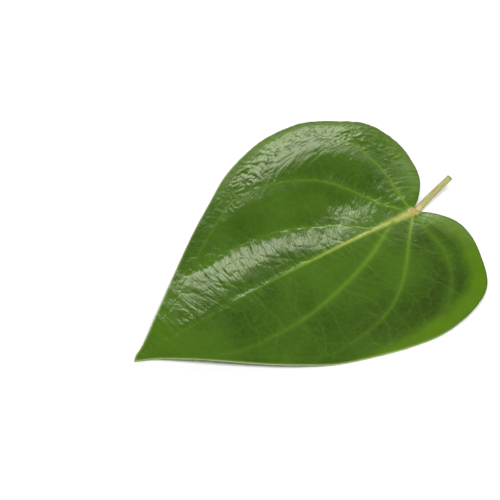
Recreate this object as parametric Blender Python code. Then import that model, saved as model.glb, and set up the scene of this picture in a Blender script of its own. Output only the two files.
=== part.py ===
"""A heart-shaped betel leaf with its cut stalk, as picked, lying on its underside.

Metres, +Z up. +X runs along the midrib from the tip to the stalk, and +Y towards the broad half. The origin
is on the surface that the leaf lies on, under the middle of its bounding box. Both pieces are built round the
stalk joint, the point where the veins meet, and an empty there carries them.
"""

import math

import bmesh
import bpy
import numpy as np
from mathutils.geometry import delaunay_2d_cdt

MM = 0.001

# Driving sizes
LEAF_LENGTH = 120 * MM  # stalk joint to tip
BROAD_HALF = 62.5 * MM  # midrib to margin on the +Y side, which a share of 1 stands for
NARROW_HALF = 50 * MM  # midrib to margin on the -Y side, which a share of -1 stands for
BLADE_THICKNESS = 0.8 * MM
STALK_LENGTH = 18 * MM
STALK_DIAMETER = 2.3 * MM
STALK_BASE_DIAMETER = 2.6 * MM
STALK_START_HEIGHT = 1.7 * MM  # of its axis at the butt face
STALK_RISE = math.radians(12)
STALK_SWING = math.radians(12)  # from the midrib's line towards the broad half
STALK_BEND = 0.7  # 1 is straight, and less brings the rise nearer the butt face
STALK_TAPER_SHARE = 0.4  # of its length, over which the base narrows to the stalk's diameter
TOP_FLAT_SHARE = 0.1  # of the radius, taken off the top
JOINT_GAP = 0.3 * MM  # between the butt face of the blade's swelling and the stalk

# Lift of the blade's upper face
REST_LEVEL = 4.3 * MM
MARGIN_WAVES = 9  # round the whole margin
MARGIN_WAVE_RISE = 0.35 * MM
MARGIN_WAVE_REACH = 7 * MM
STILL_REACH = 20 * MM  # round the stalk joint the margin has no waves
SETTLING = 0.5 * MM  # over this height the blade eases down on to the surface

# Swelling at the stalk joint
BOSS_DEPTH = 2.6 * MM
BOSS_REACH = 3.4 * MM
BOSS_FOOT_RADIUS = 1.8 * MM  # the small flat that it rests on
BOSS_BUTT_WIDTH = 2.4 * MM
BOSS_BUTT_SETBACK = 1.4 * MM  # butt face behind the stalk joint

# Mesh steps, and the gaps kept to points already placed
MARGIN_STEP = 2.5 * MM
VEIN_STEP = 2.9 * MM
FILL_STEP = 3.5 * MM
LEAST_GAP = 0.62  # of a step
CREST_GAP = 0.55  # of a rib's half width
RIB_FOOT = 1.3  # half widths from a rib's crest to its foot
BOSS_FOOT_SIDES = 8
STALK_SIDES = 14
STALK_RINGS = 9

# Soft swells of the whole blade: rise, then centre and reach as shares of the length and of the half width
SWELLS = (
    (-1.35 * MM, (0.00, 0.00), (0.100, 0.17)),  # the stalk joint sits low
    (1.5 * MM, (0.02, 0.66), (0.200, 0.36)),  # the broad lobe lifts
    (0.9 * MM, (0.28, 0.56), (0.200, 0.30)),  # and so does its long side
    (-2.4 * MM, (0.17, 0.33), (0.110, 0.20)),  # a hollow between the two lowest broad veins
    (0.3 * MM, (-0.05, -0.40), (0.167, 0.32)),  # the narrow lobe lifts
    (-4.2 * MM, (0.60, 0.70), (0.170, 0.36)),  # the broad half touches the surface
    (-4.3 * MM, (0.40, -1.00), (0.300, 0.60)),  # the narrow margin touches it too
    (-2.6 * MM, (1.02, 0.00), (0.216, 0.50)),  # the tip hangs just clear of it
)
# Each main vein's valley, its depth and reach: midrib, then each side's veins from the midrib out
VALLEYS = (
    (0.40 * MM, 3.0 * MM),
    (2.20 * MM, 9.0 * MM),
    (0.45 * MM, 4.5 * MM),
    (0.30 * MM, 4.0 * MM),
    (0.25 * MM, 4.0 * MM),
    (0.35 * MM, 4.5 * MM),
    (0.30 * MM, 4.5 * MM),
    (0.25 * MM, 4.0 * MM),
    (0.20 * MM, 4.0 * MM),
)
VALLEY_START = 0.32  # share of the vein's length over which its valley deepens
VALLEY_END_POWER = 6  # how suddenly it runs out at the vein's end
# The margin rolls down: its depth and reach
BROAD_ROLL = (2.8 * MM, 12.0 * MM)
NARROW_ROLL = (0.5 * MM, 5.0 * MM)
BROAD_ROLL_FADE = (0.60, 0.30)  # shares of the length between which the broad half's roll grows
SIDES_BLEND = (-0.05, 0.15)  # shares of the half width between which one half's roll turns into the other's
LULL = ((-0.055, 0.68), (0.085, 0.16))  # the broad lobe's margin rolls less here: centre and reach
LULL_SHARE = 0.55  # of the roll, which it takes away

# Outline from the stalk joint to the tip: share of the length, share of that side's half width
BROAD_MARGIN = (
    (-0.050, 0.080),
    (-0.098, 0.190),
    (-0.126, 0.331),
    (-0.139, 0.494),
    (-0.111, 0.679),
    (-0.043, 0.826),
    (0.051, 0.966),
    (0.167, 0.992),
    (0.275, 0.953),
    (0.383, 0.876),
    (0.485, 0.751),
    (0.595, 0.606),
    (0.704, 0.444),
    (0.801, 0.286),
    (0.884, 0.157),
    (0.950, 0.066),
    (0.984, 0.031),
)
NARROW_MARGIN = (
    (-0.045, -0.100),
    (-0.078, -0.251),
    (-0.080, -0.412),
    (-0.057, -0.604),
    (-0.009, -0.833),
    (0.068, -0.946),
    (0.183, -1.000),
    (0.299, -0.971),
    (0.416, -0.896),
    (0.531, -0.796),
    (0.638, -0.651),
    (0.756, -0.444),
    (0.865, -0.231),
    (0.940, -0.081),
    (0.982, -0.022),
)
TIP = (1.0, 0.0)

# Main veins from root to end, in the same shares
MIDRIB = ((0.000, 0.000), (0.250, 0.011), (0.500, 0.018), (0.750, 0.006), (0.990, 0.000))
BROAD_VEINS = (
    ((0.155, 0.015), (0.199, 0.104), (0.245, 0.187), (0.353, 0.304), (0.480, 0.360),
     (0.600, 0.380), (0.704, 0.332), (0.777, 0.229), (0.860, 0.127)),
    ((0.012, 0.012), (0.068, 0.164), (0.113, 0.365), (0.171, 0.496), (0.262, 0.590),
     (0.342, 0.642), (0.425, 0.667), (0.502, 0.601), (0.590, 0.498), (0.690, 0.376)),
    ((0.005, 0.020), (-0.003, 0.142), (-0.018, 0.318), (-0.017, 0.450), (-0.001, 0.621),
     (0.045, 0.761), (0.125, 0.849), (0.225, 0.878)),
    ((-0.006, 0.029), (-0.034, 0.105), (-0.072, 0.183), (-0.094, 0.303), (-0.100, 0.444),
     (-0.078, 0.590)),
)
NARROW_VEINS = (
    ((0.076, 0.004), (0.142, -0.083), (0.212, -0.173), (0.301, -0.250), (0.419, -0.328),
     (0.517, -0.371), (0.625, -0.385), (0.724, -0.369), (0.817, -0.280), (0.900, -0.149)),
    ((0.012, -0.026), (0.075, -0.185), (0.147, -0.377), (0.217, -0.529), (0.301, -0.639),
     (0.413, -0.700), (0.517, -0.709), (0.610, -0.646)),
    ((0.006, -0.040), (0.018, -0.221), (0.022, -0.402), (0.039, -0.533), (0.077, -0.689),
     (0.137, -0.823), (0.205, -0.894), (0.300, -0.914)),
    ((-0.006, -0.046), (-0.034, -0.164), (-0.048, -0.321), (-0.039, -0.482), (-0.012, -0.660),
     (0.030, -0.808)),
)
# Depth of each rib under the blade and half its width at its root: midrib, then each side's veins
MIDRIB_RIB = (1.1 * MM, 1.3 * MM)
SIDE_RIBS = ((0.60 * MM, 1.0 * MM), (0.60 * MM, 1.0 * MM), (0.50 * MM, 0.9 * MM), (0.35 * MM, 0.8 * MM))

# Base colour, roughness, metallic
BLADE_FINISH = ((0.055, 0.120, 0.014, 1.0), 0.35, 0.0)
STALK_FINISH = ((0.390, 0.410, 0.110, 1.0), 0.50, 0.0)


def in_plan(shares):
    """Points given as shares of the length and of the half width, in metres about the stalk joint."""
    points = np.array(shares, dtype=float).reshape(-1, 2)
    half = np.where(points[:, 1] > 0, BROAD_HALF, NARROW_HALF)
    return np.column_stack([-points[:, 0] * LEAF_LENGTH, points[:, 1] * half])


def curve_through(points, per_span=12):
    """A smooth Catmull-Rom line through the points."""
    padded = np.vstack([2 * points[0] - points[1], points, 2 * points[-1] - points[-2]])
    t = np.linspace(0, 1, per_span, endpoint=False)[:, None]
    spans = []
    for a, b, c, d in zip(padded, padded[1:], padded[2:], padded[3:]):
        bend, twist = 2 * a - 5 * b + 4 * c - d, 3 * b - a - 3 * c + d
        spans.append(0.5 * (2 * b + (c - a) * t + bend * t**2 + twist * t**3))
    return np.vstack([*spans, points[-1:]])


def stepped(line, step):
    """The line's points at even spacing, both ends included."""
    run = np.concatenate([[0], np.cumsum(np.linalg.norm(np.diff(line, axis=0), axis=1))])
    wanted = np.linspace(0, run[-1], max(2, round(run[-1] / step) + 1))
    return np.column_stack([np.interp(wanted, run, line[:, 0]), np.interp(wanted, run, line[:, 1])])


def nearest_on(line, points):
    """For each point, its distance to the line and the share of the line's length at which it is nearest."""
    start, along = line[:-1], np.diff(line, axis=0)
    length = np.linalg.norm(along, axis=1)
    offset = points[:, None] - start[None]
    share = np.clip((offset * along).sum(axis=2) / length**2, 0, 1)
    gap = np.linalg.norm(offset - share[..., None] * along, axis=2)
    best = gap.argmin(axis=1)
    rows = np.arange(len(points))
    run = np.concatenate([[0], np.cumsum(length)])
    return gap[rows, best], (run[best] + share[rows, best] * length[best]) / run[-1]


def butt_corners():
    """Both ends of the butt face, which is square to the stalk, in plan."""
    middle = BOSS_BUTT_SETBACK * np.array([math.cos(STALK_SWING), math.sin(STALK_SWING)])
    across = BOSS_BUTT_WIDTH / 2 * np.array([-math.sin(STALK_SWING), math.cos(STALK_SWING)])
    return middle + across, middle - across


def outline():
    """The margin from the butt face round the tip and back, as one closed ring without a repeated point."""
    broad_corner, narrow_corner = butt_corners()
    tip = in_plan([TIP])
    broad = stepped(curve_through(np.vstack([broad_corner, in_plan(BROAD_MARGIN), tip])), MARGIN_STEP)
    narrow = stepped(curve_through(np.vstack([narrow_corner, in_plan(NARROW_MARGIN), tip])), MARGIN_STEP)
    return np.vstack([broad, narrow[-2::-1]])


MARGIN_RING = outline()
MARGIN_LINE = np.vstack([MARGIN_RING, MARGIN_RING[:1]])
VEINS = [(curve_through(in_plan(MIDRIB)), *MIDRIB_RIB)] + [
    (curve_through(in_plan(shares)), *rib)
    for side in (BROAD_VEINS, NARROW_VEINS)
    for shares, rib in zip(side, SIDE_RIBS)
]


def ease(value, low, high):
    """0 at low, 1 at high, with a smooth turn at both."""
    t = np.clip((value - low) / (high - low), 0, 1)
    return t * t * (3 - 2 * t)


def hump(along, across, centre, reach):
    """1 at the centre, and falling off over the reach, all in shares."""
    return np.exp(-(((along - centre[0]) / reach[0]) ** 2) - ((across - centre[1]) / reach[1]) ** 2)


def valley_depth(points):
    """How far the blade is sunk along its main veins."""
    sunk = np.zeros(len(points))
    for (line, _, _), (depth, reach) in zip(VEINS, VALLEYS):
        gap, share = nearest_on(line, points)
        shown = ease(share, 0, VALLEY_START) * (1 - share**VALLEY_END_POWER)
        sunk = np.maximum(sunk, depth * shown * np.exp(-((gap / reach) ** 2)))
    return sunk


def blade_height(points):
    """Height of the blade's underside between the ribs.

    Soft swells carry valleys at the veins and a rolled, waved margin. The blade eases into a level spot where
    it would sink below the surface that the leaf lies on.
    """
    along = -points[:, 0] / LEAF_LENGTH
    across = points[:, 1] / np.where(points[:, 1] > 0, BROAD_HALF, NARROW_HALF)
    height = REST_LEVEL + sum(rise * hump(along, across, centre, reach) for rise, centre, reach in SWELLS)
    edge_gap, edge_share = nearest_on(MARGIN_LINE, points)
    clear = 1 - np.exp(-((np.linalg.norm(points, axis=1) / STILL_REACH) ** 2))
    level = LULL_SHARE * hump(along, across, *LULL)
    broad = BROAD_ROLL[0] * np.exp(-((edge_gap / BROAD_ROLL[1]) ** 2))
    broad *= ease(along, *BROAD_ROLL_FADE) * (1 - level)
    narrow = NARROW_ROLL[0] * np.exp(-((edge_gap / NARROW_ROLL[1]) ** 2))
    roll = narrow + (broad - narrow) * ease(across, *SIDES_BLEND)
    fade = np.exp(-((edge_gap / MARGIN_WAVE_REACH) ** 2))
    wave = MARGIN_WAVE_RISE * np.sin(2 * math.pi * MARGIN_WAVES * edge_share) * fade
    free = height - valley_depth(points) + clear * (wave - roll) - BLADE_THICKNESS
    eased = (free + SETTLING) ** 2 / (4 * SETTLING)
    return np.where(free > SETTLING, free, np.where(free > -SETTLING, eased, 0))


def hanging(points):
    """How far the ribs and the swelling at the stalk joint hang below the blade."""
    ribs = []
    for line, depth, half_width in VEINS:
        gap, share = nearest_on(line, points)
        taper = 1 - share
        ribs.append(depth * taper * np.exp(-((gap / (half_width * (0.5 + 0.5 * taper))) ** 2)))
    boss = BOSS_DEPTH * np.exp(-((np.linalg.norm(points, axis=1) / BOSS_REACH) ** 2))
    return np.max(ribs, axis=0) + boss


def inside(points, ring):
    """Which points are inside the ring, by counting its crossings of a ray to +X."""
    count = np.zeros(len(points), dtype=int)
    for (ax, ay), (bx, by) in zip(ring, np.roll(ring, -1, axis=0)):
        if ay == by:
            continue
        spans = (points[:, 1] >= min(ay, by)) & (points[:, 1] < max(ay, by))
        count += spans & (points[:, 0] < ax + (points[:, 1] - ay) * (bx - ax) / (by - ay))
    return count % 2 == 1


def beside(line, offset):
    """The line moved sideways by the offset."""
    along = np.gradient(line, axis=0)
    along /= np.linalg.norm(along, axis=1)[:, None]
    return line + offset * np.column_stack([-along[:, 1], along[:, 0]])


def plan_points():
    """Points of the blade in plan: margin, swelling, each rib's crest and both its feet, and an even fill."""
    turn = 2 * math.pi * np.arange(BOSS_FOOT_SIDES) / BOSS_FOOT_SIDES
    foot = BOSS_FOOT_RADIUS * np.column_stack([np.cos(turn), np.sin(turn)])
    candidates = [(foot, LEAST_GAP * BOSS_FOOT_RADIUS)]
    for line, _, half_width in VEINS:
        candidates.append((stepped(line, VEIN_STEP), CREST_GAP * half_width))
    for line, _, half_width in VEINS:
        aside = RIB_FOOT * half_width
        for side in (-1, 1):
            candidates.append((stepped(beside(line, side * aside), VEIN_STEP), LEAST_GAP * aside))
    low, high = MARGIN_RING.min(axis=0), MARGIN_RING.max(axis=0)
    row_step = FILL_STEP * math.sqrt(3) / 2
    for row, y in enumerate(np.arange(low[1], high[1], row_step)):
        x = np.arange(low[0] + (row % 2) * FILL_STEP / 2, high[0], FILL_STEP)
        candidates.append((np.column_stack([x, np.full(len(x), y)]), LEAST_GAP * FILL_STEP))
    placed = list(MARGIN_RING)
    for points, least in candidates:
        edge_gap, _ = nearest_on(MARGIN_LINE, points)
        for point in points[inside(points, MARGIN_RING) & (edge_gap > min(least, LEAST_GAP * MARGIN_STEP))]:
            if np.linalg.norm(np.array(placed) - point, axis=1).min() > least:
                placed.append(point)
    return np.array(placed)


def finish(name, base_colour, roughness, metallic):
    """A material for one piece."""
    material = bpy.data.materials.new(name)
    material.use_nodes = True
    shader = material.node_tree.nodes["Principled BSDF"]
    shader.inputs["Base Color"].default_value = base_colour
    shader.inputs["Roughness"].default_value = roughness
    shader.inputs["Metallic"].default_value = metallic
    material.diffuse_color = base_colour
    return material


def add_piece(name, vertices, faces, material, parent):
    """One object from its mesh, with its faces pointing out."""
    mesh = bpy.data.meshes.new(name)
    mesh.from_pydata([tuple(map(float, vertex)) for vertex in vertices], [], faces)
    shape = bmesh.new()
    shape.from_mesh(mesh)
    bmesh.ops.recalc_face_normals(shape, faces=shape.faces)
    shape.to_mesh(mesh)
    shape.free()
    mesh.shade_smooth()
    mesh.materials.append(material)
    piece = bpy.data.objects.new(name, mesh)
    piece.parent = parent
    bpy.context.scene.collection.objects.link(piece)
    return piece


def add_blade(parent):
    """The blade: one triangulation for both faces, joined by a wall round the margin."""
    ring_count = len(MARGIN_RING)
    points = plan_points()
    flat, _, triangles, *_ = delaunay_2d_cdt(
        [tuple(point) for point in points / MM], [], [list(range(ring_count))], 1, 1e-5
    )
    plan = np.array([tuple(point) for point in flat]) * MM
    height = blade_height(plan)
    upper = np.column_stack([plan, height + BLADE_THICKNESS])
    lower = np.column_stack([plan, np.maximum(height - hanging(plan), 0)])
    count = len(plan)
    faces = [tuple(corner) for corner in triangles]
    faces += [tuple(corner + count for corner in reversed(face)) for face in triangles]
    for here in range(ring_count):
        after = (here + 1) % ring_count
        faces.append((here, here + count, after + count))
        faces.append((here, after + count, after))
    vertices = np.vstack([upper, lower])
    return add_piece("leaf_blade", vertices, faces, finish("blade", *BLADE_FINISH), parent)


def add_stalk(parent):
    """The stalk: rings along a line that bends up from the butt face, with flat ends and a flat on top."""
    base = BOSS_BUTT_SETBACK + JOINT_GAP
    vertices = []
    for ring in range(STALK_RINGS):
        share = ring / (STALK_RINGS - 1)
        reach = base + STALK_LENGTH * share
        height = STALK_START_HEIGHT + STALK_LENGTH * math.tan(STALK_RISE) * share**STALK_BEND
        narrowing = (STALK_BASE_DIAMETER - STALK_DIAMETER) * min(1, share / STALK_TAPER_SHARE)
        radius = (STALK_BASE_DIAMETER - narrowing) / 2
        lean = math.tan(STALK_RISE) * share
        for side in range(STALK_SIDES):
            angle = 2 * math.pi * side / STALK_SIDES
            up = min(math.sin(angle), 1 - TOP_FLAT_SHARE)
            across = radius * math.cos(angle)
            along = reach - radius * up * lean
            vertices.append(
                (
                    along * math.cos(STALK_SWING) - across * math.sin(STALK_SWING),
                    along * math.sin(STALK_SWING) + across * math.cos(STALK_SWING),
                    height + radius * up,
                )
            )
    cut_end = (STALK_RINGS - 1) * STALK_SIDES
    faces = [tuple(range(STALK_SIDES)), tuple(range(cut_end, cut_end + STALK_SIDES))]
    for ring in range(STALK_RINGS - 1):
        for side in range(STALK_SIDES):
            here = ring * STALK_SIDES + side
            beside_it = ring * STALK_SIDES + (side + 1) % STALK_SIDES
            faces.append((here, beside_it, beside_it + STALK_SIDES, here + STALK_SIDES))
    return add_piece("leaf_stalk", vertices, faces, finish("stalk", *STALK_FINISH), parent)


def stand(carrier, pieces):
    """Moves the carrier so that the origin is on the resting surface under the middle of the bounding box."""
    corners = np.vstack([[tuple(vertex.co) for vertex in piece.data.vertices] for piece in pieces])
    low, high = corners.min(axis=0), corners.max(axis=0)
    carrier.location = (-(low[0] + high[0]) / 2, -(low[1] + high[1]) / 2, -low[2])


def main():
    for old in list(bpy.data.objects):
        bpy.data.objects.remove(old)
    carrier = bpy.data.objects.new("stalk_joint", None)
    bpy.context.scene.collection.objects.link(carrier)
    stand(carrier, [add_blade(carrier), add_stalk(carrier)])


main()
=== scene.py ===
"""Looks of a betel leaf: a waxy heart-shaped blade with sunken veins, and its cut yellow-green stalk.

Metres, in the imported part's own frame: +Z up off the surface, +X along the midrib from the tip to the stalk,
+Y towards the broad half. The blade and the stalk keep the form of the solids that they stand for. They add
the fine veins, the wrinkles between them, the rounded margin and the colours.
"""

import logging
import math
from collections.abc import Callable, Iterable
from dataclasses import dataclass, field
from enum import Enum

import bmesh
import bpy
import numpy as np
from mathutils import Matrix, Vector, kdtree, noise
from mathutils.geometry import delaunay_2d_cdt


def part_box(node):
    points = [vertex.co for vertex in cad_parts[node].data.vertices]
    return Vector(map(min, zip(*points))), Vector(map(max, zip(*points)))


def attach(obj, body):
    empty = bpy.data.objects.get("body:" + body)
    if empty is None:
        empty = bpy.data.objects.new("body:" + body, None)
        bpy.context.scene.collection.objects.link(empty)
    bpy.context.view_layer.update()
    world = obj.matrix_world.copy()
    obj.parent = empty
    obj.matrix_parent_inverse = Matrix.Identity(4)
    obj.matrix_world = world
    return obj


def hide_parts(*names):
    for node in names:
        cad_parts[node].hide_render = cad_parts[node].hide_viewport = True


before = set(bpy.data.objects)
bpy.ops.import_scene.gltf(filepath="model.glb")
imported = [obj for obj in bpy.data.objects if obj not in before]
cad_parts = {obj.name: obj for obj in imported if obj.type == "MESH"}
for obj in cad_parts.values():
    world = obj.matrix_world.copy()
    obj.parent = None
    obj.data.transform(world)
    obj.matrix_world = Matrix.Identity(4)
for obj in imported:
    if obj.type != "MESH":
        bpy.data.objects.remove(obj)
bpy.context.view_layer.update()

MM = 0.001
LOG = logging.getLogger("betel_leaf")

Array = np.ndarray
Pair = tuple[float, float]
Colour = tuple[float, float, float]
Socket = bpy.types.NodeSocket
THROUGH: Colour = (0.16, 0.34, 0.010)  # the light that comes through the leaf
THROUGH_SHARE = 0.18
ALL = (-3.0, -2.0)  # limits for ease that give 1 everywhere on the leaf


class Face(Enum):
    """The three surfaces of the blade's mesh, by the number of their material."""

    UPPER = 0
    UNDER = 1
    RIM = 2


def curve_through(points: Array, per_span: int = 12) -> Array:
    """A smooth Catmull-Rom line.

    Args:
        points: the points that it passes, in order.
        per_span: how many points of the line lie between two of them.

    Returns:
        The line's points.
    """
    padded = np.vstack([2 * points[0] - points[1], points, 2 * points[-1] - points[-2]])
    t = np.linspace(0, 1, per_span, endpoint=False)[:, None]
    spans = []
    for a, b, c, d in zip(padded, padded[1:], padded[2:], padded[3:]):
        bend, twist = 2 * a - 5 * b + 4 * c - d, 3 * b - a - 3 * c + d
        spans.append(0.5 * (2 * b + (c - a) * t + bend * t**2 + twist * t**3))
    return np.vstack([*spans, points[-1:]])


def run_of(line: Array) -> Array:
    """Distance along the line at each of its points."""
    return np.concatenate([[0], np.cumsum(np.linalg.norm(np.diff(line, axis=0), axis=1))])


def at_run(line: Array, wanted: Array) -> Array:
    """Points of the line at the wanted distances along it."""
    run = run_of(line)
    return np.column_stack([np.interp(wanted, run, line[:, 0]), np.interp(wanted, run, line[:, 1])])


def stepped(line: Array, step: float) -> Array:
    """The line's points at even spacing, both ends included."""
    length = run_of(line)[-1]
    return at_run(line, np.linspace(0, length, max(2, round(length / step) + 1)))


def nearest_on(line: Array, points: Array, at_once: int = 4000) -> tuple[Array, Array]:
    """Where each point lies beside a line.

    Args:
        line: the line's points.
        points: the points to measure.
        at_once: how many points are measured together, to save memory.

    Returns:
        Each point's distance to the line, and the share of the line's length at which it is nearest.
    """
    start, along = line[:-1], np.diff(line, axis=0)
    length = np.linalg.norm(along, axis=1)
    run = run_of(line)
    gaps, shares = [], []
    for first in range(0, len(points), at_once):
        offset = points[first : first + at_once, None] - start[None]
        share = np.clip((offset * along).sum(axis=2) / length**2, 0, 1)
        gap = np.linalg.norm(offset - share[..., None] * along, axis=2)
        best = gap.argmin(axis=1)
        rows = np.arange(len(best))
        gaps.append(gap[rows, best])
        shares.append((run[best] + share[rows, best] * length[best]) / run[-1])
    return np.concatenate(gaps), np.concatenate(shares)


def unit(ways: Array) -> Array:
    """The directions, each of length 1."""
    return ways / np.linalg.norm(ways, axis=1)[:, None]


def sideways(ways: Array) -> Array:
    """Directions a quarter turn to the left of the given ones."""
    return np.column_stack([-ways[:, 1], ways[:, 0]])


def bell(gap: Array, reach: Array | float) -> Array:
    """1 where the gap is 0, and about a third where it equals the reach."""
    return np.exp(-((gap / reach) ** 2))


def ease(value: Array, low: float, high: float) -> Array:
    """0 at low, 1 at high, with a smooth turn at both; low may be the larger one."""
    t = np.clip((value - low) / (high - low), 0, 1)
    return t * t * (3 - 2 * t)


def within(along: Array, across: Array, region: tuple[Pair, Pair]) -> Array:
    """1 inside a region of the blade and 0 outside it; region gives where it sets in, across and along."""
    return ease(across, *region[0]) * ease(along, *region[1])


def mound(along: Array, across: Array, centre: Pair, reach: Pair) -> Array:
    """1 at the centre of an oval mound, and falling off all round it."""
    return np.exp(-(((along - centre[0]) / reach[0]) ** 2) - ((across - centre[1]) / reach[1]) ** 2)


def rough(points: Array, seed: int, tile: int = 256) -> Array:
    """Smooth noise in two coordinates.

    Args:
        points: where to read it, one noise cell to a unit.
        seed: picks one of many patterns.
        tile: after how many cells it repeats.

    Returns:
        A number from about -1 to 1 for each point.
    """
    table = np.random.default_rng(seed).uniform(-1, 1, (tile, tile))
    cell = np.floor(points).astype(int)
    x, y = (points - cell).T
    x, y = x * x * (3 - 2 * x), y * y * (3 - 2 * y)
    column, row = cell.T % tile
    after_column, after_row = (column + 1) % tile, (row + 1) % tile
    near = table[column, row] * (1 - x) + table[after_column, row] * x
    far = table[column, after_row] * (1 - x) + table[after_column, after_row] * x
    return near * (1 - y) + far * y


def brushed(points: Array, across: Array, run: float, width: float, seed: int, reads: int = 13) -> Array:
    """Noise that is drawn out along a direction, as if brushed.

    Args:
        points: where to read it.
        across: the direction at each point.
        run: the streaks' spacing.
        width: their length.
        seed: picks one of many patterns.
        reads: how many readings along the direction are averaged.

    Returns:
        A number for each point, mostly from -2 to 2.
    """
    total = np.zeros(len(points))
    for share in np.linspace(-0.5, 0.5, reads):
        total += math.cos(math.pi * share) * rough((points + share * width * across) / run, seed)
    return total / math.sqrt(reads * 0.5 * max(1.0, reads * run / width) / 3)


@dataclass(frozen=True)
class Vein:
    """A main vein: its line in plan, its rib's depth and half width at its root, and its look from above."""

    line: Array
    rib_depth: float
    rib_half_width: float
    look: Array

    def shown(self, share: Array) -> tuple[Array, Array]:
        """Half width and paleness, seen from above, at shares of the vein's length."""
        at, half_width, paleness = self.look.T
        return np.interp(share, at, half_width), np.interp(share, at, paleness)


@dataclass(frozen=True)
class Reading:
    """What the blade's formulas use at each of a set of points in plan."""

    points: Array
    vein_gaps: Array
    vein_shares: Array
    edge_gap: Array
    edge_share: Array

    def beside(self, rows: Iterable) -> Iterable:
        """What belongs to each main vein, with the points' gaps and shares beside that vein."""
        return zip(rows, self.vein_gaps, self.vein_shares)

    @property
    def joint_gap(self) -> Array:
        """Distance from the stalk joint."""
        return np.linalg.norm(self.points, axis=1)

    @property
    def vein_gap(self) -> Array:
        """Distance from the nearest main vein."""
        return self.vein_gaps.min(axis=0)


@dataclass
class LeafPlan:
    """The leaf seen from above, about the stalk joint: margin and main veins."""

    length: float = 120 * MM
    broad_half: float = 62.5 * MM
    narrow_half: float = 50 * MM
    butt_setback: float = 1.4 * MM
    butt_width: float = 2.4 * MM
    stalk_swing: float = math.radians(12)
    margin_step: float = 0.45 * MM
    measure_step: float = 1.0 * MM
    # Each point is a share of the length from the joint to the tip, and a share of that side's half width
    broad_margin: tuple = (
        (-0.050, 0.080), (-0.098, 0.190), (-0.126, 0.331), (-0.139, 0.494), (-0.111, 0.679),
        (-0.043, 0.826), (0.051, 0.966), (0.167, 0.992), (0.275, 0.953), (0.383, 0.876),
        (0.485, 0.751), (0.595, 0.606), (0.704, 0.444), (0.801, 0.286), (0.884, 0.157),
        (0.950, 0.066), (0.984, 0.031),
    )
    narrow_margin: tuple = (
        (-0.045, -0.100), (-0.078, -0.251), (-0.080, -0.412), (-0.057, -0.604), (-0.009, -0.833),
        (0.068, -0.946), (0.183, -1.000), (0.299, -0.971), (0.416, -0.896), (0.531, -0.796),
        (0.638, -0.651), (0.756, -0.444), (0.865, -0.231), (0.940, -0.081), (0.982, -0.022),
    )
    tip: tuple = ((1.0, 0.0),)
    midrib: tuple = ((0.000, 0.000), (0.250, 0.011), (0.500, 0.018), (0.750, 0.006), (0.990, 0.000))
    broad_veins: tuple = (
        ((0.155, 0.015), (0.199, 0.104), (0.245, 0.187), (0.353, 0.304), (0.480, 0.360),
         (0.600, 0.380), (0.704, 0.332), (0.777, 0.229), (0.860, 0.127)),
        ((0.012, 0.012), (0.068, 0.164), (0.113, 0.365), (0.171, 0.496), (0.262, 0.590),
         (0.342, 0.642), (0.425, 0.667), (0.502, 0.601), (0.590, 0.498), (0.690, 0.376)),
        ((0.005, 0.020), (-0.003, 0.142), (-0.018, 0.318), (-0.017, 0.450), (-0.001, 0.621),
         (0.045, 0.761), (0.125, 0.849), (0.225, 0.878)),
        ((-0.006, 0.029), (-0.034, 0.105), (-0.072, 0.183), (-0.094, 0.303), (-0.100, 0.444),
         (-0.078, 0.590)),
    )
    narrow_veins: tuple = (
        ((0.076, 0.004), (0.142, -0.083), (0.212, -0.173), (0.301, -0.250), (0.419, -0.328),
         (0.517, -0.371), (0.625, -0.385), (0.724, -0.369), (0.817, -0.280), (0.900, -0.149)),
        ((0.012, -0.026), (0.075, -0.185), (0.147, -0.377), (0.217, -0.529), (0.301, -0.639),
         (0.413, -0.700), (0.517, -0.709), (0.610, -0.646)),
        ((0.006, -0.040), (0.018, -0.221), (0.022, -0.402), (0.039, -0.533), (0.077, -0.689),
         (0.137, -0.823), (0.205, -0.894), (0.300, -0.914)),
        ((-0.006, -0.046), (-0.034, -0.164), (-0.048, -0.321), (-0.039, -0.482), (-0.012, -0.660),
         (0.030, -0.808)),
    )
    # Depth and half width of the ribs, in millimetres: the midrib's, then those of each side's veins
    midrib_rib: Pair = (1.1, 1.3)
    side_ribs: tuple = ((0.60, 1.0), (0.60, 1.0), (0.50, 0.9), (0.35, 0.8))
    # How each vein shows from above: a share of its length, half width in millimetres and paleness there
    midrib_look: tuple = (
        (0.0, 2.40, 1.0), (0.03, 1.85, 1.0), (0.06, 1.40, 0.95), (0.13, 0.95, 0.84), (0.18, 0.72, 0.86),
        (0.25, 0.62, 0.84), (0.50, 0.50, 0.42), (0.65, 0.60, 0.20), (0.85, 0.60, 0.14), (1.0, 0.40, 0.0),
    )
    broad_looks: tuple = (
        ((0.0, 0.60, 0.42), (0.20, 0.52, 0.34), (0.40, 0.42, 0.22), (0.7, 0.40, 0.14), (1.0, 0.35, 0.0)),
        ((0.0, 0.55, 0.48), (0.15, 0.48, 0.38), (0.5, 0.44, 0.27), (0.9, 0.40, 0.25), (1.0, 0.30, 0.0)),
        ((0.0, 0.50, 0.52), (0.4, 0.45, 0.36), (0.8, 0.38, 0.16), (1.0, 0.30, 0.0)),
        ((0.0, 0.40, 0.22), (0.5, 0.40, 0.10), (1.0, 0.30, 0.0)),
    )
    narrow_looks: tuple = (
        ((0.0, 0.70, 0.42), (0.15, 0.84, 0.40), (0.45, 0.76, 0.32), (0.8, 0.62, 0.16), (1.0, 0.50, 0.0)),
        ((0.0, 0.50, 0.66), (0.2, 0.58, 0.42), (0.5, 0.62, 0.28), (0.85, 0.50, 0.12), (1.0, 0.40, 0.0)),
        ((0.0, 0.55, 0.26), (0.5, 0.60, 0.18), (1.0, 0.40, 0.0)),
        ((0.0, 0.50, 0.16), (0.5, 0.55, 0.10), (1.0, 0.40, 0.0)),
    )
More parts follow.
